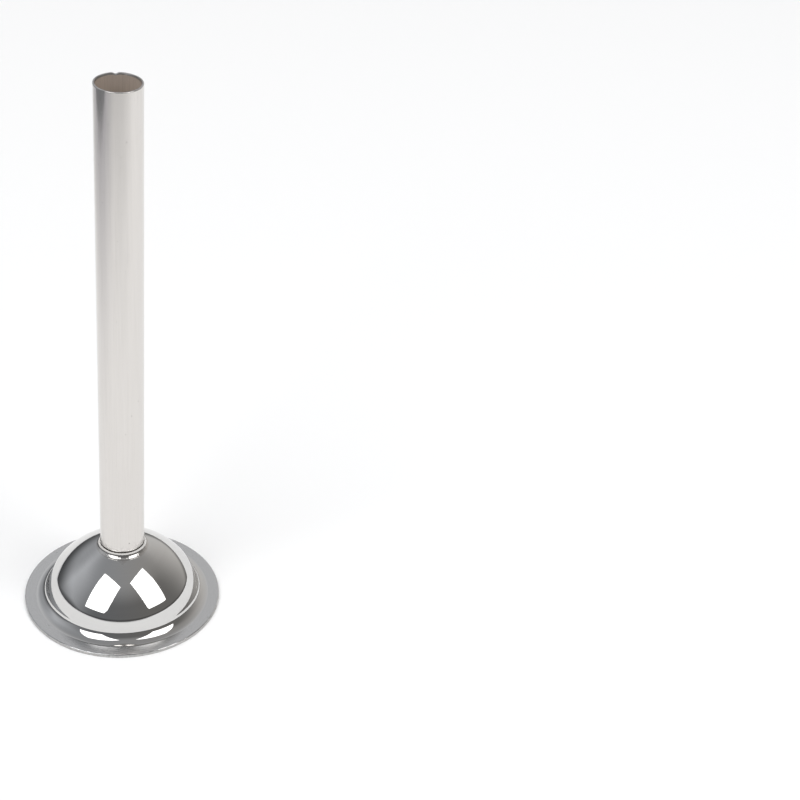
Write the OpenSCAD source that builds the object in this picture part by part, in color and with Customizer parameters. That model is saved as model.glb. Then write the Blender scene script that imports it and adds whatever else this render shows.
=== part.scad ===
// Sausage stuffing tube: a slim straight tube welded into the crown of a pressed dome with a flat flange.
// Millimetres, +Z up. The part stands on its flange, with the origin at the middle of the flange's underside.

/* [Flange] */
// Outside diameter of the flange
flange_d = 54; // [50:0.5:70]
// Thickness of the sheet that the flange and the dome are pressed from
sheet_t = 1; // [0.6:0.1:1.6]
// Rounding that the trimming die leaves on the flange's upper edge
trim_round = 0.3; // [0.1:0.05:0.5]

/* [Dome] */
// Diameter of the circle at which the flange starts to rise into the dome
mouth_d = 44.9; // [40:0.1:48]
// Radius of the hollow fillet that leads from the flange into the wall
root_fillet = 1.7; // [1.2:0.1:2.6]
// Draft of the wall's foot, in degrees away from upright
wall_draft = 9.6; // [6:0.1:14]
// Outside radius of the steep wall's slight bow
wall_r = 22; // [18:0.5:28]
// How far the wall bends, in degrees
wall_turn = 11.9; // [8:0.1:16]
// Outside radius of the knuckle that turns the wall in towards the crown
knuckle_r = 9.2; // [7:0.1:11]
// How far the knuckle bends, in degrees
knuckle_turn = 16.1; // [12:0.1:22]
// Outside radius of the arc that sweeps out the crown
crown_r = 26.6; // [24:0.1:30]

/* [Tube] */
// Outside diameter of the tube
tube_d = 12; // [9:0.5:16]
// Wall of the tube
tube_wall = 0.6; // [0.4:0.1:1.2]
// Height of the tube's open end over the flange's underside
overall_h = 155; // [90:1:220]
// Rounding on both edges of the tube's open end
lip_round = 0.15; // [0.05:0.05:0.2]

/* [Neck] */
// How much the tube's seated end is turned down, on its radius
neck_step = 0.2; // [0.1:0.05:0.3]
// Clearance all round between the tube's seated end and the pierced hole in the crown
seat_gap = 0.05; // [0.02:0.01:0.1]
// Open seam between the weld and the shoulder of the tube
seam_h = 0.4; // [0.1:0.05:0.6]
// Radius of the weld's hollow face between the tube and the dome
weld_fillet = 1.7; // [0.8:0.1:2]
// Thickness of the weld at its two feathered edges
weld_toe = 0.08; // [0.04:0.02:0.2]

/* [Hidden] */
$fn = 180;
flange_r = flange_d / 2;
tube_r = tube_d / 2;
bore_r = tube_r - tube_wall;
neck_r = tube_r - neck_step;
hole_r = neck_r + seat_gap;
mouth_r = mouth_d / 2;
// Height of the middle of the root fillet
root_z = sheet_t + root_fillet;
// Middle of the wall's bow, which the root fillet touches from outside
wall_x = mouth_r - (root_fillet + wall_r) * cos(wall_draft);
wall_z = root_z - (root_fillet + wall_r) * sin(wall_draft);
// Middle of the knuckle, which touches the upper end of the wall from inside
knuckle_start = wall_draft + wall_turn;
knuckle_x = wall_x + (wall_r - knuckle_r) * cos(knuckle_start);
knuckle_z = wall_z + (wall_r - knuckle_r) * sin(knuckle_start);
// Middle of the crown's arc, which the knuckle touches from inside; past the axis it makes a pointed crown
crown_start = knuckle_start + knuckle_turn;
crown_x = knuckle_x - (crown_r - knuckle_r) * cos(crown_start);
crown_z = knuckle_z - (crown_r - knuckle_r) * sin(crown_start);
// How far the crown bends up to a point half way from the pierced hole to the axis
crown_turn = acos((hole_r / 2 - crown_x) / crown_r) - crown_start;
// Height of the inside of the crown at the tube, where the tube's lower end lies flush
seat_z = crown_z + sqrt(pow(crown_r - sheet_t, 2) - pow(neck_r - crown_x, 2));
// Centre of the weld's hollow face, its toes standing clear of the tube and of the crown
weld_r = tube_r + weld_toe + weld_fillet;
weld_z = crown_z + sqrt(pow(crown_r + weld_toe + weld_fillet, 2) - pow(weld_r - crown_x, 2));
// Height of the shoulder that ends the tube's full diameter
shoulder_z = weld_z + seam_h;
// Share of the weld's reach at which its section is closed, well inside the dome's sheet
weld_depth = (crown_r - sheet_t) / (crown_r + weld_toe + weld_fillet);
weld_foot_r = crown_x + (weld_r - crown_x) * weld_depth;
weld_foot_z = crown_z + (weld_z - crown_z) * weld_depth;

// Strip of sheet bent round the origin, from the X axis up to a turn of less than a quarter
module bent_strip(r_in, r_out, turn) {
    reach = r_out + sheet_t;
    intersection() {
        difference() {
            circle(r_out);
            circle(r_in);
        }
        square(reach);
        rotate(turn) mirror([0, 1]) square(reach);
    }
}

// Pressed sheet: flat flange, hollow fillet, bowed wall, knuckle and crown, pierced for the tube
module flanged_dome() {
    color("silver") rotate_extrude() {
        flange_section();
        difference() {
            dome_section();
            square([hole_r, crown_z + crown_r]);
        }
    }
}

// Half section of the dome, bend by bend from the flange up, each bend starting where the last one ends
module dome_section() {
    translate([mouth_r, root_z]) rotate(wall_draft) {
        rotate(180) bent_strip(root_fillet, root_fillet + sheet_t, 90 - wall_draft);
        translate([-root_fillet - wall_r, 0]) {
            bent_strip(wall_r - sheet_t, wall_r, wall_turn);
            rotate(wall_turn) translate([wall_r - knuckle_r, 0]) {
                bent_strip(knuckle_r - sheet_t, knuckle_r, knuckle_turn);
                rotate(knuckle_turn) translate([knuckle_r - crown_r, 0])
                    bent_strip(crown_r - sheet_t, crown_r, crown_turn);
            }
        }
    }
}

// Half section of the flat flange, its upper outer edge rolled over by the trimming die
module flange_section() {
    translate([mouth_r, 0]) {
        square([flange_r - mouth_r - trim_round, sheet_t]);
        square([flange_r - mouth_r, sheet_t - trim_round]);
    }
    translate([flange_r - trim_round, sheet_t - trim_round]) circle(trim_round);
}

// Straight drawn tube, from its turned-down end in the crown to its open end
module stuffing_tube() {
    color("gainsboro") rotate_extrude() difference() {
        polygon([
            [bore_r, seat_z],
            [neck_r, seat_z],
            [neck_r, shoulder_z],
            [tube_r, shoulder_z],
            [tube_r, overall_h],
            [bore_r, overall_h]
        ]);
        translate([tube_r - lip_round, overall_h - lip_round]) lip_corner();
        translate([bore_r + lip_round, overall_h - lip_round]) rotate(90) lip_corner();
    }
}

// What rounding takes off a square corner of the tube's open end
module lip_corner() {
    difference() {
        square(2 * lip_round);
        circle(lip_round);
    }
}

// Ring of weld on the dome, round the tube's turned-down end, ground to a hollow fillet
module neck_weld() {
    color("lightgray") rotate_extrude() difference() {
        polygon([
            [neck_r, weld_z],
            [weld_r, weld_z],
            [weld_foot_r, weld_foot_z],
            [neck_r, weld_foot_z]
        ]);
        translate([weld_r, weld_z]) circle(weld_fillet);
        translate([crown_x, crown_z]) circle(crown_r);
    }
}

flanged_dome();
stuffing_tube();
neck_weld();
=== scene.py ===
# %% [markdown]
# # Sausage stuffing tube
# The part is a slim stainless steel tube, welded into the crown of a pressed dome with a flat flange. The
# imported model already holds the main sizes, so this lesson is about surfaces: a mirror polish on the dome,
# a softer polish on the tube, a satin flange, dull insides, and a studio for the polish to reflect.

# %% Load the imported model
import math

import bpy
from mathutils import Matrix, Vector


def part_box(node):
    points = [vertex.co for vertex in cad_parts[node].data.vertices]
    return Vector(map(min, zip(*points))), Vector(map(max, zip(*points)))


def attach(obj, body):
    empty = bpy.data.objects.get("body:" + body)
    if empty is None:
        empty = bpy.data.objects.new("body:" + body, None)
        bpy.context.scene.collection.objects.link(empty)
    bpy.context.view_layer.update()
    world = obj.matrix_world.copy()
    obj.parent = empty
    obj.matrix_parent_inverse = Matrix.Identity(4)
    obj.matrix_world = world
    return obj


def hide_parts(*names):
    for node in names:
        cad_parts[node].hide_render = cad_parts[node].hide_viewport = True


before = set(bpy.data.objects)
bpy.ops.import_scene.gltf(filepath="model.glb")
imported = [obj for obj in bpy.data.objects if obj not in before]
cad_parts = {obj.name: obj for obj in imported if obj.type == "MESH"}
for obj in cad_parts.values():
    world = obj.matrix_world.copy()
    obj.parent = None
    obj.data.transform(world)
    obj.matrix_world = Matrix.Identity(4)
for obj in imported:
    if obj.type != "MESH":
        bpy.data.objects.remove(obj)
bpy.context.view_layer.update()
MM = 0.001

# %% [markdown]
# ## Camera
# The flange is a known circle, so its ellipse in the photo, the straight edges of the tube and the rim of
# its mouth fix the camera. It could be aimed with a Track To constraint, but that leaves no say over its
# roll. Three unit vectors are used here instead: they are the columns of the camera's rotation.

# %% Aim the camera
YAW, PITCH, ROLL = (math.radians(angle) for angle in (10.75, 33.53, 5.47))
SENSOR, FOCAL = 36, 79.74
EYE = Vector((0, -389.1, 327.2)) * MM
ahead = Vector((math.sin(YAW) * math.cos(PITCH), math.cos(YAW) * math.cos(PITCH), -math.sin(PITCH)))
level = Vector((math.cos(YAW), -math.sin(YAW), 0))
upward = level.cross(ahead)
to_right = math.cos(ROLL) * level + math.sin(ROLL) * upward
to_top = math.cos(ROLL) * upward - math.sin(ROLL) * level
lens = bpy.data.cameras.new("camera")
lens.sensor_width = SENSOR
lens.lens = FOCAL
camera = bpy.data.objects.new("camera", lens)
camera.matrix_world = Matrix.Translation(EYE) @ Matrix((to_right, to_top, -ahead)).transposed().to_4x4()
bpy.context.collection.objects.link(camera)
bpy.context.scene.camera = camera
bpy.context.scene.view_settings.view_transform = "Standard"
print("camera looks down by", round(math.degrees(PITCH), 1), "degrees")

# %% [markdown]
# ## Node helpers
# Node trees are long to write out, so five short helpers make a node, a sum, a smooth range, a mixed colour
# and an empty group.

# %% Node helpers
def node(tree, kind, feeds=None, **settings):
    """New node with its settings, its inputs fed by sockets or set to plain values."""
    made = tree.nodes.new(kind)
    for key, value in settings.items():
        setattr(made, key, value)
    for key, value in (feeds or {}).items():
        if isinstance(value, bpy.types.NodeSocket):
            tree.links.new(value, made.inputs[key])
        else:
            made.inputs[key].default_value = value
    return made


def maths(tree, operation, a, b):
    """Output of a Math node."""
    return node(tree, "ShaderNodeMath", {0: a, 1: b}, operation=operation).outputs[0]


def spread(tree, value, low, high, to_low=0.0, to_high=1.0):
    """Output of a smooth Map Range node."""
    feeds = {"Value": value, "From Min": low, "From Max": high, "To Min": to_low, "To Max": to_high}
    return node(tree, "ShaderNodeMapRange", feeds, interpolation_type="SMOOTHSTEP").outputs["Result"]


def tone(tree, share, colour, other):
    """Output of a Mix node between two colours, each a socket or a plain colour."""
    ends = [c if isinstance(c, bpy.types.NodeSocket) else (*c, 1) for c in (colour, other)]
    return node(tree, "ShaderNodeMix", {"Factor": share, 6: ends[0], 7: ends[1]}, data_type="RGBA").outputs[2]


def effect(name, inputs, outputs):
    """Empty shader node group with named float inputs and outputs."""
    tree = bpy.data.node_groups.new(name, "ShaderNodeTree")
    for label, value in inputs.items():
        tree.interface.new_socket(label, in_out="INPUT", socket_type="NodeSocketFloat").default_value = value
    for label in outputs:
        tree.interface.new_socket(label, in_out="OUTPUT", socket_type="NodeSocketFloat")
    return tree, tree.nodes.new("NodeGroupInput").outputs, tree.nodes.new("NodeGroupOutput").inputs


print("node helpers:", [helper.__name__ for helper in (node, maths, spread, tone, effect)])

# %% [markdown]
# ## White table
# Polished steel has hardly any colour of its own: what it shows is the table and the room. The part stands
# on a plain white table top, which the camera sees as its background. The table ends a forearm's length
# away on the left, so the dome mirrors it as a pale band under a grey room.

# %% Lay the table
TABLE = (-0.31, -1.2, 0.4, 0.52)
x0, y0, x1, y1 = TABLE
table_mesh = bpy.data.meshes.new("table_top")
table_mesh.from_pydata([(x0, y0, 0), (x1, y0, 0), (x1, y1, 0), (x0, y1, 0)], [], [(0, 1, 2, 3)])
table = bpy.data.objects.new("table_top", table_mesh)
bpy.context.collection.objects.link(table)
print("table top in m:", TABLE)

# %% [markdown]
# The table is whitest round the part. Out of the frame it darkens to the left and towards the camera, as a
# table does that is lit over one place, and the tube mirrors that as a cool shade down its left side. A
# narrow lamp could do that too, but it would change the light on the part, so the table's colour fades
# instead.

# %% Paint the table
WHITE, COOL_SHADE, NEAR_SHARE = (0.95, 0.95, 0.95), (0.46, 0.455, 0.485), 0.6
FADE_LEFT, FADE_NEAR = (-0.36, -0.06), (-0.45, -0.08)
TABLE_ROUGH = 0.9
white = bpy.data.materials.new("white_table")
white.use_nodes = True
top = white.node_tree
paint = top.nodes["Principled BSDF"]
spot = node(top, "ShaderNodeSeparateXYZ", {0: node(top, "ShaderNodeTexCoord").outputs["Object"]}).outputs
near = spread(top, spot["Y"], *FADE_NEAR, NEAR_SHARE, 1.0)
lit = tone(top, spread(top, spot["X"], *FADE_LEFT), COOL_SHADE, WHITE)
shade = node(top, "ShaderNodeVectorMath", {0: lit, "Scale": near}, operation="SCALE").outputs[0]
top.links.new(shade, paint.inputs["Base Color"])
paint.inputs["Roughness"].default_value = TABLE_ROUGH
paint.inputs["Specular IOR Level"].default_value = 0.0
table_mesh.materials.append(white)
print("table colour", WHITE, "fades to", COOL_SHADE)

# %% [markdown]
# ## Studio light
# Two tall softboxes stand to the left and right of the camera, and the dome shows each of them as a bright
# leaning panel. The white table throws their light back up from below, and a grey room closes the rest.
# Area lamps are used, because the steel mirrors them as clean rectangles and they light the table evenly.
# A wide fill hangs over the table to make it white. The steel doesn't mirror it, as if the ceiling glowed.

# %% Hang the softboxes
BOX_AWAY, BOX_BRIGHT = 3.0, 2.4


def towards(azimuth, elevation):
    """Unit vector to a place in the room: azimuth 0 is the camera's side, positive is to the right."""
    a, e = math.radians(azimuth), math.radians(elevation)
    return Vector((math.sin(a) * math.cos(e), -math.cos(a) * math.cos(e), math.sin(e)))


def panel(name, azimuth, elevation, upright, width, height, distance, brightness):
    """Area lamp that faces the part, its sides as shares of its distance. Brightness 1 mirrors as white."""
    lamp = bpy.data.lights.new(name, "AREA")
    lamp.shape = "RECTANGLE"
    lamp.size = width * distance
    lamp.size_y = height * distance
    lamp.energy = brightness * math.pi * lamp.size * lamp.size_y
    back = towards(azimuth, elevation)
    across = Vector(upright).cross(back).normalized()
    turn = Matrix((across, back.cross(across), back)).transposed().to_4x4()
    holder = bpy.data.objects.new(name, lamp)
    holder.matrix_world = Matrix.Translation(back * distance) @ turn
    bpy.context.collection.objects.link(holder)
    print(name, "is", round(lamp.size, 2), "by", round(lamp.size_y, 2), "m")
    return holder


panel("softbox_left", azimuth=-43.8, elevation=45.4, upright=(0.525, 0.482, 0.701),
      width=0.575, height=0.846, distance=BOX_AWAY, brightness=BOX_BRIGHT)
panel("softbox_right", azimuth=58.8, elevation=46.6, upright=(-0.586, 0.432, 0.686),
      width=0.55, height=0.8, distance=BOX_AWAY, brightness=BOX_BRIGHT)
table_fill = panel("table_fill", azimuth=0, elevation=89, upright=(0, 1, 0),
                   width=1.2, height=1.2, distance=2.5, brightness=1.0)
table_fill.visible_glossy = False

# %% [markdown]
# ## Grey room
# A mirror needs more than lamps, because the dome shows the whole room. A picture of a real room could be
# wrapped round the scene, but a plain grey room made of nodes is enough, as long as its walls differ.
# It is lighter behind the part and to its left, darker on the camera's side, and of an even grey overhead.

# %% Paint the walls
WALL_FRONT, WALL_BACK, OVERHEAD, LEFT_LEAN = 0.17, 0.66, 0.34, 0.38
WALL_SPAN, OVERHEAD_SPAN = (-0.55, 0.9), (0.6, 0.95)
room = bpy.data.worlds.new("grey_room")
bpy.context.scene.world = room
room.use_nodes = True
sky = room.node_tree
outlook = node(sky, "ShaderNodeTexCoord").outputs["Generated"]
sight = node(sky, "ShaderNodeSeparateXYZ", {0: outlook}).outputs
lean = maths(sky, "SUBTRACT", sight["Y"], maths(sky, "MULTIPLY", sight["X"], LEFT_LEAN))
walls = spread(sky, lean, *WALL_SPAN, WALL_FRONT, WALL_BACK)
overhead = spread(sky, sight["Z"], *OVERHEAD_SPAN)
shell = node(sky, "ShaderNodeMix", {"Factor": overhead, "A": walls, "B": OVERHEAD}).outputs["Result"]
print("room strength is", WALL_FRONT, "in front,", WALL_BACK, "behind and", OVERHEAD, "overhead")

# %% [markdown]
# The walls are darkest at their foot, just over the table's edge, which draws the dark line inside the
# pale band on the dome. The foot is tallest at the back left, where the room also has a dim corner. Under
# the table's level lies a plain floor, which the steel sees only past the table's edge.

# %% Darken the foot and the corner
CORNER, CORNER_SPAN, CORNER_SHARE = towards(-140, 18), (0.84, 0.99), 0.62
FOOT_LOW, FOOT_SPAN, FOOT_TOP, FOOT_TONE = -0.01, (0.4, 1.1), (0.1, 0.42), (0.4, 0.18)
FLOOR, FLOOR_SPAN = 0.22, (-0.3, -0.1)
back_left = maths(sky, "SUBTRACT", sight["Y"], sight["X"])
foot_top = spread(sky, back_left, *FOOT_SPAN, *FOOT_TOP)
foot_tone = spread(sky, back_left, *FOOT_SPAN, *FOOT_TONE)
foot = spread(sky, sight["Z"], FOOT_LOW, foot_top, foot_tone, 1.0)
facing = node(sky, "ShaderNodeVectorMath", {0: outlook, 1: CORNER}, operation="DOT_PRODUCT").outputs["Value"]
dimmed = maths(sky, "MULTIPLY", shell, spread(sky, facing, *CORNER_SPAN, 1.0, CORNER_SHARE))
below = spread(sky, sight["Z"], *FLOOR_SPAN, 1.0, 0.0)
feeds = {"Factor": below, "A": maths(sky, "MULTIPLY", dimmed, foot), "B": FLOOR}
strength = node(sky, "ShaderNodeMix", feeds).outputs["Result"]
sky.links.new(strength, sky.nodes["Background"].inputs["Strength"])
print("the corner keeps", CORNER_SHARE, "of its light, and the floor has", FLOOR)

# %% Tint the room
COOL_LEFT, WARM_RIGHT, TINT_SPAN = (0.95, 0.98, 1.03), (1.03, 1.0, 0.965), (-0.6, 0.8)
cast = tone(sky, spread(sky, sight["X"], *TINT_SPAN), COOL_LEFT, WARM_RIGHT)
sky.links.new(cast, sky.nodes["Background"].inputs["Color"])
print("room is cool at its left", COOL_LEFT, "and warm at its right", WARM_RIGHT)

# %% [markdown]
# ## Steel grain
# Every finish on this part was made by turning, drawing or polishing, so its marks run round the axis or
# along it. One node group makes all of them: it stretches a noise in the part's own round coordinates. A
# large Around and a small Along give lengthwise drawing lines, and the other way round gives turned rings.

# %% Grain group
GRAIN_INPUTS = {"Around": 1.0, "Along": 1.0, "Outward": 1.0, "Detail": 3.0, "Seed": 0.0}
grain, asked, given = effect("steel_grain", GRAIN_INPUTS, ["Value", "Radius"])
xyz = node(grain, "ShaderNodeSeparateXYZ", {0: node(grain, "ShaderNodeTexCoord").outputs["Object"]}).outputs
flat = node(grain, "ShaderNodeCombineXYZ", {"X": xyz["X"], "Y": xyz["Y"]}).outputs[0]
away = node(grain, "ShaderNodeVectorMath", {0: flat}, operation="LENGTH").outputs["Value"]
radius = maths(grain, "DIVIDE", away, MM)
spoke = node(grain, "ShaderNodeVectorMath", {0: flat}, operation="NORMALIZE").outputs[0]
bent = node(grain, "ShaderNodeVectorMath", {0: spoke, "Scale": asked["Around"]}, operation="SCALE").outputs[0]
rise = maths(grain, "MULTIPLY", xyz["Z"], maths(grain, "DIVIDE", asked["Along"], MM))
reach = maths(grain, "MULTIPLY", radius, asked["Outward"])
lift = node(grain, "ShaderNodeCombineXYZ", {"Z": maths(grain, "ADD", rise, reach)}).outputs[0]
place = node(grain, "ShaderNodeVectorMath", {0: bent, 1: lift}, operation="ADD").outputs[0]
feeds = {"Vector": place, "W": asked["Seed"], "Scale": 1.0, "Detail": asked["Detail"], "Roughness": 0.6}
streaks = node(grain, "ShaderNodeTexNoise", feeds, noise_dimensions="4D").outputs[0]
grain.links.new(streaks, given["Value"])
grain.links.new(radius, given["Radius"])
print("steel_grain takes", list(GRAIN_INPUTS))

# %% [markdown]
# ## Handling marks and pits
# No polish is clean: fingers and cloths leave faint cloudy patches that only show where the gloss changes.
# A soft noise in the part's own space, spread so that most of the surface stays clear, is enough for those.
# Cheap stainless also has pinholes. Voronoi cells give them: a pit shows where a cell's own point lies on
# the surface.

# %% Marks group
NO_COVER, COVER_REACH, MARK_SOFT = 0.9, 0.8, 0.25
marks, asked, given = effect("handling_marks", {"Size": 6.0, "Cover": 0.4}, ["Mask"])
spot = node(marks, "ShaderNodeTexCoord").outputs["Object"]
rate = maths(marks, "DIVIDE", 1 / MM, asked["Size"])
feeds = {"Vector": spot, "Scale": rate, "Detail": 5.0, "Roughness": 0.62}
cloud = node(marks, "ShaderNodeTexNoise", feeds).outputs[0]
edge = maths(marks, "SUBTRACT", NO_COVER, maths(marks, "MULTIPLY", asked["Cover"], COVER_REACH))
marks.links.new(spread(marks, cloud, edge, maths(marks, "ADD", edge, MARK_SOFT)), given["Mask"])
print("handling_marks gives a mask of smudges")

# %% Pits group
pits, asked, given = effect("pinholes", {"Spacing": 3.0, "Width": 0.2}, ["Mask"])
spot = node(pits, "ShaderNodeTexCoord").outputs["Object"]
rate = maths(pits, "DIVIDE", 1 / MM, asked["Spacing"])
gap = node(pits, "ShaderNodeTexVoronoi", {"Vector": spot, "Scale": rate}).outputs["Distance"]
gap_mm = maths(pits, "MULTIPLY", gap, asked["Spacing"])
pits.links.new(spread(pits, gap_mm, 0.0, asked["Width"], 1.0, 0.0), given["Mask"])
print("pinholes gives a mask of pits")

# %% [markdown]
# ## Finishes
# Each finish is one Principled BSDF. The steel's colour hardly changes, so the finish is told by its
# roughness and by the tiny relief of its marks: heights in millimetres are added up and go into one Bump
# node. The flange needs one thing more. The wheel that polished the dome just touched it, so close to the
# dome its satin fades in with the distance from the axis.

# %% Finish helper
LINE_SPAN = (0.3, 0.7)
PIT_DEEP, PIT_DARKENING, PIT_DARK = 0.05, 0.7, (0.12, 0.1, 0.09)
WHEEL_ROUGH = 0.045


def finish(name, colour, tint, gloss, lines, relief, smudge, cover=0.4, size=6.0, waves=None, wave=0.0,
           pitting=None, buffed=None, metal=1.0, drawn_out=0.0):
    """Steel finish. gloss is (clean, marked) roughness, lines the grain's inputs, relief its height in mm."""
    material = bpy.data.materials.new(name)
    material.use_nodes = True
    tree = material.node_tree
    steel = tree.nodes["Principled BSDF"]
    steel.inputs["Metallic"].default_value = metal
    fine = node(tree, "ShaderNodeGroup", lines, node_tree=grain).outputs
    touched = node(tree, "ShaderNodeGroup", {"Cover": cover, "Size": size}, node_tree=marks).outputs[0]
    lined = maths(tree, "MULTIPLY", spread(tree, fine["Value"], *LINE_SPAN), 1 - smudge)
    worn = maths(tree, "ADD", lined, maths(tree, "MULTIPLY", touched, smudge))
    height = maths(tree, "MULTIPLY", fine["Value"], relief)
    rough = spread(tree, worn, 0.0, 1.0, *gloss)
    hue = tone(tree, worn, colour, tint)
    if waves:
        slow = node(tree, "ShaderNodeGroup", waves, node_tree=grain).outputs["Value"]
        height = maths(tree, "ADD", height, maths(tree, "MULTIPLY", slow, wave))
    if pitting:
        # Each pit is sunk by the bump and also painted darker in its colour.
        holes = node(tree, "ShaderNodeGroup", pitting, node_tree=pits).outputs[0]
        height = maths(tree, "SUBTRACT", height, maths(tree, "MULTIPLY", holes, PIT_DEEP))
        hue = tone(tree, maths(tree, "MULTIPLY", holes, PIT_DARKENING), hue, PIT_DARK)
    if buffed:
        dull = spread(tree, fine["Radius"], *buffed)
        rougher = maths(tree, "MULTIPLY", maths(tree, "SUBTRACT", rough, WHEEL_ROUGH), dull)
        rough = maths(tree, "ADD", WHEEL_ROUGH, rougher)
        height = maths(tree, "MULTIPLY", height, dull)
    if drawn_out:
        steel.inputs["Anisotropic"].default_value = drawn_out
        around = node(tree, "ShaderNodeTangent", direction_type="RADIAL", axis="Z").outputs[0]
        tree.links.new(around, steel.inputs["Tangent"])
    bump = node(tree, "ShaderNodeBump", {"Height": height, "Distance": MM, "Strength": 1.0}).outputs[0]
    for key, value in (("Base Color", hue), ("Roughness", rough), ("Normal", bump)):
        tree.links.new(value, steel.inputs[key])
    print(name, "roughness", gloss)
    return material


# %% Finishes of the dome
mirror = finish("mirror_polish", (0.68, 0.675, 0.665), (0.63, 0.62, 0.61), gloss=(0.028, 0.07),
                lines={"Around": 0.6, "Along": 3.0, "Outward": 3.0}, relief=0.0003, smudge=0.7,
                waves={"Around": 2.6, "Along": 0.12, "Outward": 0.12}, wave=0.012)
satin = finish("satin_flange", (0.68, 0.68, 0.68), (0.6, 0.6, 0.6), gloss=(0.2, 0.28),
               lines={"Around": 100.0, "Along": 4.0, "Outward": 4.0, "Detail": 2.0},
               relief=0.0014, smudge=0.35, waves={"Around": 1.2, "Along": 1.0, "Outward": 1.1}, wave=0.004,
               pitting={"Spacing": 2.4, "Width": 0.14}, buffed=(23.6, 24.0))
sheared = finish("sheared_edge", (0.6, 0.595, 0.59), (0.3, 0.29, 0.285), gloss=(0.2, 0.5),
                 lines={"Around": 240.0, "Along": 0.9, "Outward": 0.5}, relief=0.02, smudge=0.2)
bowl = finish("satin_bowl", (0.62, 0.61, 0.59), (0.5, 0.49, 0.47), gloss=(0.24, 0.4),
              lines={"Around": 1.2, "Along": 4.0, "Outward": 4.0}, relief=0.003, smudge=0.4)

# %% Finishes of the tube and the weld
polished = finish("tube_polish", (0.725, 0.7, 0.675), (0.69, 0.664, 0.636), gloss=(0.1, 0.22),
                  lines={"Around": 18.0, "Along": 0.05, "Outward": 0.0, "Detail": 5.0, "Seed": 2.0},
                  relief=0.005, smudge=0.25, cover=0.5, size=9.0,
                  waves={"Around": 4.0, "Along": 0.03, "Outward": 0.0}, wave=0.05,
                  pitting={"Spacing": 3.0, "Width": 0.2}, drawn_out=0.6)
drawn = finish("drawn_bore", (0.7, 0.615, 0.545), (0.54, 0.47, 0.41), gloss=(0.4, 0.55),
               lines={"Around": 40.0, "Along": 0.06, "Outward": 0.0}, relief=0.004, smudge=0.3, metal=0.45)
# The seam under the tube's shoulder is painted near black in its colour.
seam_dark = finish("dark_seam", (0.1, 0.09, 0.08), (0.05, 0.045, 0.04), gloss=(0.5, 0.7),
                lines={"Around": 60.0, "Along": 4.0, "Outward": 4.0}, relief=0.01, smudge=0.5, metal=0.3)
ground = finish("ground_weld", (0.68, 0.665, 0.645), (0.52, 0.49, 0.46), gloss=(0.045, 0.12),
                lines={"Around": 3.0, "Along": 8.0, "Outward": 8.0}, relief=0.0006, smudge=0.6, size=2.5,
                waves={"Around": 11.0, "Along": 0.5, "Outward": 0.5}, wave=0.08)

# %% [markdown]
# ## Turning a section
# All three pieces are round, as if they came off a lathe, so each is a half section turned about Z.
# Blender's Screw modifier could do it, but a mesh built in code keeps the rings even, and lets each
# stretch of the section have its own finish. Fine rings matter here: a mirror shows every flat that a
# coarse mesh leaves.

# %% Section and lathe
SEGMENTS, SHARP = 384, math.radians(35)


def arc(centre_r, centre_z, radius, start, end, steps):
    """Points on a circular stretch of the section, angles in degrees, both ends included."""
    angles = [math.radians(start + (end - start) * i / steps) for i in range(steps + 1)]
    return [(centre_r + radius * math.cos(a), centre_z + radius * math.sin(a)) for a in angles]


def straight(start, end, steps=1):
    """Points on a straight stretch of the section, both ends included."""
    return [tuple(a + (b - a) * i / steps for a, b in zip(start, end)) for i in range(steps + 1)]


def turned(name, stretches, finishes, wear=None):
    """Closed half section turned about Z. Each stretch is (points in mm, its finish)."""
    ring, kinds = [], []
    for points, used in stretches:
        ring += points[:-1]
        kinds += [finishes.index(used)] * (len(points) - 1)
    count = len(ring)
    corners, faces = [], []
    for s in range(SEGMENTS):
        a = 2 * math.pi * s / SEGMENTS
        for r, z in ring:
            if wear:
                r, z = wear(r, z, a)
            corners.append((r * math.cos(a) * MM, r * math.sin(a) * MM, z * MM))
        here, after = s * count, (s + 1) % SEGMENTS * count
        for i in range(count):
            j = (i + 1) % count
            faces.append((here + i, after + i, after + j, here + j))
    mesh = bpy.data.meshes.new(name)
    mesh.from_pydata(corners, [], faces)
    for material in finishes:
        mesh.materials.append(material)
    mesh.polygons.foreach_set("material_index", kinds * SEGMENTS)
    mesh.polygons.foreach_set("use_smooth", [True] * len(faces))
    mesh.set_sharp_from_angle(angle=SHARP)
    mesh.validate()
    mesh.update()
    piece = bpy.data.objects.new(name, mesh)
    bpy.context.collection.objects.link(piece)
    print(name, "has", count, "points in its section and", len(faces), "faces")
    return piece


print("each piece is turned in", SEGMENTS, "steps")

# %% [markdown]
# ## Pressed dome
# On the real part the dome and its flange are one sheet, drawn over a die, trimmed round and polished on
# top. Each bend of its section is tangent to the one before. The polish shows a fuller hollow at the foot
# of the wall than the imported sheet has. So the wall keeps its packed bend, and a larger fillet is set
# against it: its middle is as far from the bend's middle as the two radii together.

# %% Dome sizes
SHEET, TRIM, PACKED_MOUTH, PACKED_ROOT, PACKED_DRAFT = 1.0, 0.3, 22.45, 1.7, 9.6
ROOT, BOW, BOW_TURN, KNUCKLE, KNUCKLE_TURN, CROWN = 3.4, 22.0, 11.9, 9.2, 16.1, 26.6
TUBE_R, NECK_STEP, SEAT_GAP = 6.0, 0.2, 0.05


def heading(angle):
    """Unit vector in the half section, angle in degrees up from the outward direction."""
    return Vector((math.cos(math.radians(angle)), math.sin(math.radians(angle))))


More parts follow.
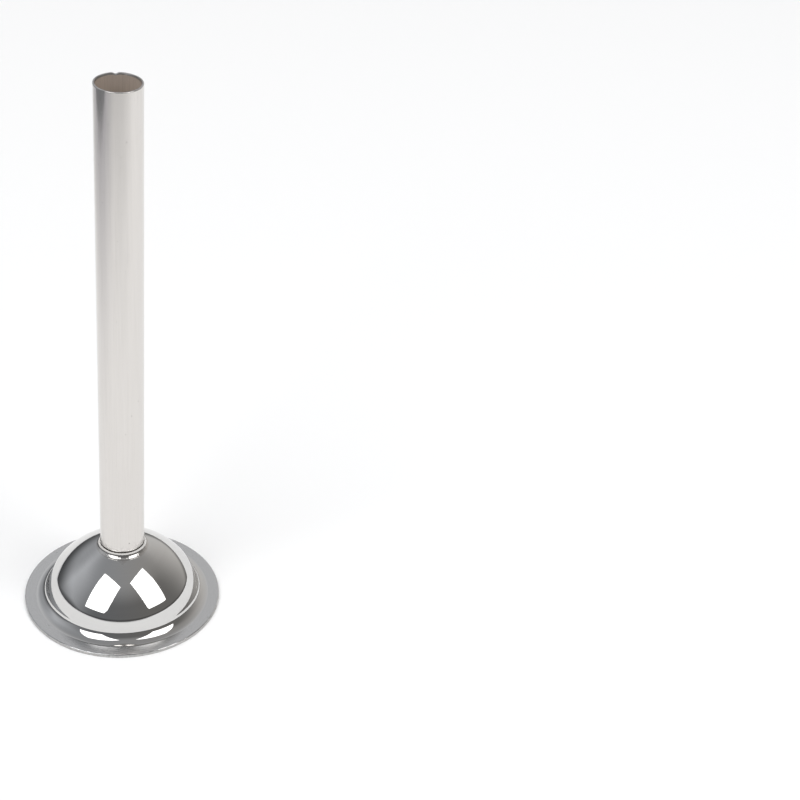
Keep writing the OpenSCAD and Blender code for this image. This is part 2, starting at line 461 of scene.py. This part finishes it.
flange_r = (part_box("flanged_dome")[1][0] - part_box("flanged_dome")[0][0]) / 2 / MM
hole_r = TUBE_R - NECK_STEP + SEAT_GAP
bow = Vector((PACKED_MOUTH, SHEET + PACKED_ROOT)) - (PACKED_ROOT + BOW) * heading(PACKED_DRAFT)
draft = math.degrees(math.asin((SHEET + ROOT - bow.y) / (ROOT + BOW)))
root = bow + (ROOT + BOW) * heading(draft)
mouth = root.x
knee = PACKED_DRAFT + BOW_TURN
knuckle = bow + (BOW - KNUCKLE) * heading(knee)
bend = knee + KNUCKLE_TURN
crown = knuckle - (CROWN - KNUCKLE) * heading(bend)
for label, middle in (("root", root), ("bow", bow), ("knuckle", knuckle), ("crown", crown)):
    print(label, "bends about", [round(c, 2) for c in middle])

# %% [markdown]
# The section runs once round the sheet: out under the flange, round its trimmed edge, back over the
# flange, up the hollow fillet and the wall to the pierced crown, and down again inside at an even
# thickness. Smooth shading would carry the edge's slope far over the flat flange, so a ring of points
# close to the edge stops it. The trimming die tears the sheet as much as it cuts it, so the flange's edge
# isn't quite round. A few waves of different lengths, added to the edge's own points, are enough to break
# up its highlight.

# %% Turn the dome
UNDER_EDGE, SHEARED_TO, STOP = 0.05, 30, 1.3
BURRS = ((19, 0.012), (43, 0.012), (97, 0.014), (151, 0.012))


def crown_at(radius, r):
    """Height of the crown's arc of that radius at a distance r from the axis, and its angle there."""
    angle = math.acos((r - crown.x) / radius)
    return crown.y + radius * math.sin(angle), math.degrees(angle)


def torn(r, z, a):
    """Trimmed edge of the flange, eaten away a little by the die."""
    if r > flange_r - TRIM / 2:
        r -= sum(depth * (1 + math.sin(count * a + count)) for count, depth in BURRS) / 2
    return r, z


outer_top, outer_end = crown_at(CROWN, hole_r)
inner_top, inner_end = crown_at(CROWN - SHEET, hole_r)
stop_r = flange_r - STOP * TRIM
dome = turned("pressed_dome", [
    (straight((mouth, 0), (flange_r - UNDER_EDGE, 0), 4), satin),
    (arc(flange_r - UNDER_EDGE, UNDER_EDGE, UNDER_EDGE, -90, 0, 3), sheared),
    (straight((flange_r, UNDER_EDGE), (flange_r, SHEET - TRIM), 3), sheared),
    (arc(flange_r - TRIM, SHEET - TRIM, TRIM, 0, SHEARED_TO, 3), sheared),
    (arc(flange_r - TRIM, SHEET - TRIM, TRIM, SHEARED_TO, 90, 6), satin),
    (straight((flange_r - TRIM, SHEET), (stop_r, SHEET)), satin),
    (straight((stop_r, SHEET), (mouth, SHEET), 6), satin),
    (arc(*root, ROOT, 270, 180 + draft, 32), mirror),
    (arc(*bow, BOW, draft, knee, 16), mirror),
    (arc(*knuckle, KNUCKLE, knee, bend, 16), mirror),
    (arc(*crown, CROWN, bend, outer_end, 48), mirror),
    (straight((hole_r, outer_top), (hole_r, inner_top), 2), bowl),
    (arc(*crown, CROWN - SHEET, inner_end, bend, 32), bowl),
    (arc(*knuckle, KNUCKLE - SHEET, bend, knee, 10), bowl),
    (arc(*bow, BOW - SHEET, knee, draft, 10), bowl),
    (arc(*root, ROOT + SHEET, 180 + draft, 270, 20), bowl),
], [mirror, satin, sheared, bowl], torn)
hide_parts("flanged_dome")
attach(dome, "root")

# %% [markdown]
# ## Neck weld
# The tube is held by a ring of weld, which was ground hollow and polished with the dome. Its section is a
# small concave arc between the dome and the seam under the tube's shoulder. A torus cut in half would give
# a bulge instead of a hollow, so the ring is turned like the rest.

# %% Turn the weld
WELD, TOE = 1.7, 0.08
neck_r = TUBE_R - NECK_STEP
weld_r = TUBE_R + TOE + WELD
weld_z = crown.y + math.sqrt((CROWN + TOE + WELD) ** 2 - (weld_r - crown.x) ** 2)
under_z, under = crown_at(CROWN, neck_r)
toe = math.degrees(math.atan2(weld_z - crown.y, weld_r - crown.x))
weld = turned("neck_bead", [
    (straight((neck_r, weld_z), (neck_r, under_z), 3), ground),
    (arc(*crown, CROWN, under, toe, 6), ground),
    (straight(crown + CROWN * heading(toe), Vector((weld_r, weld_z)) - WELD * heading(toe)), ground),
    (arc(weld_r, weld_z, WELD, 180 + toe, 180, 16), ground),
    (straight((weld_r - WELD, weld_z), (neck_r, weld_z), 2), ground),
], [ground])
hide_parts("neck_weld")
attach(weld, "root")

# %% [markdown]
# ## Tube
# The tube is thin-walled and open at both ends. Its lower end is turned down to sit in the crown, and the
# shoulder above the weld shows as a fine dark seam, with a thin bright burr on the shoulder's edge. The
# open end was sawn off and bevelled inside, which leaves a thin rim with the finish of the flange's
# sheared edge. It isn't quite level, and it has a nick at the back. A Boolean could cut the nick, but
# moving the points of the end itself keeps the rings even.

# %% Tube sizes
WALL, SEAM, LIP, RIM, BEVEL, END, BEAD, BEAD_IN = 0.6, 0.4, 0.15, 0.42, 0.45, 1.0, 0.12, 0.05
NICK_AT, NICK_WIDE, NICK_DEEP = math.radians(96), 0.9, 0.4
SAW, SAW_TURN, CHATTER, CHATTERS = 0.08, 2, 0.4, 9
tube_low, tube_top = (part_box("stuffing_tube")[end][2] / MM for end in (0, 1))
bore_r = TUBE_R - WALL
shoulder_z = weld_z + SEAM
bead_end = math.degrees(math.acos(BEAD_IN / BEAD))
bead = arc(TUBE_R - BEAD_IN, shoulder_z + BEAD, BEAD, -90, bead_end, 8)
heights = [round(z, 2) for z in (tube_low, shoulder_z, tube_top)]
print("tube's lower end, shoulder and top in mm:", heights)


# %% Turn the tube
def sawn(r, z, a):
    """Open end of the tube: cut a little out of level, with one nick."""
    share = (z - tube_top + END) / END
    if share > 0:
        along = abs((a - NICK_AT + math.pi) % (2 * math.pi) - math.pi) * TUBE_R
        cut = 1 + math.sin(a + SAW_TURN) + CHATTER * math.sin(CHATTERS * a)
        z -= share * SAW * cut / (2 * (1 + CHATTER))
        z -= share * NICK_DEEP * max(0.0, 1 - along / NICK_WIDE)
    return r, z


tube = turned("drawn_tube", [
    (straight((bore_r, tube_low), (neck_r, tube_low), 2), drawn),
    (straight((neck_r, tube_low), (neck_r, weld_z), 2), drawn),
    (straight((neck_r, weld_z), (neck_r, shoulder_z), 2), seam_dark),
    (straight((neck_r, shoulder_z), bead[0], 2), seam_dark),
    (bead, polished),
    (straight(bead[-1], (TUBE_R, tube_top - END), 40), polished),
    (straight((TUBE_R, tube_top - END), (TUBE_R, tube_top - LIP), 10), polished),
    (arc(TUBE_R - LIP, tube_top - LIP, LIP, 0, 90, 6), polished),
    (straight((TUBE_R - LIP, tube_top), (TUBE_R - RIM, tube_top), 2), sheared),
    (straight((TUBE_R - RIM, tube_top), (bore_r, tube_top - BEVEL)), sheared),
    (straight((bore_r, tube_top - BEVEL), (bore_r, tube_top - END), 6), drawn),
    (straight((bore_r, tube_top - END), (bore_r, tube_low), 40), drawn),
], [polished, drawn, seam_dark, sheared], sawn)
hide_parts("stuffing_tube")
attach(tube, "root")
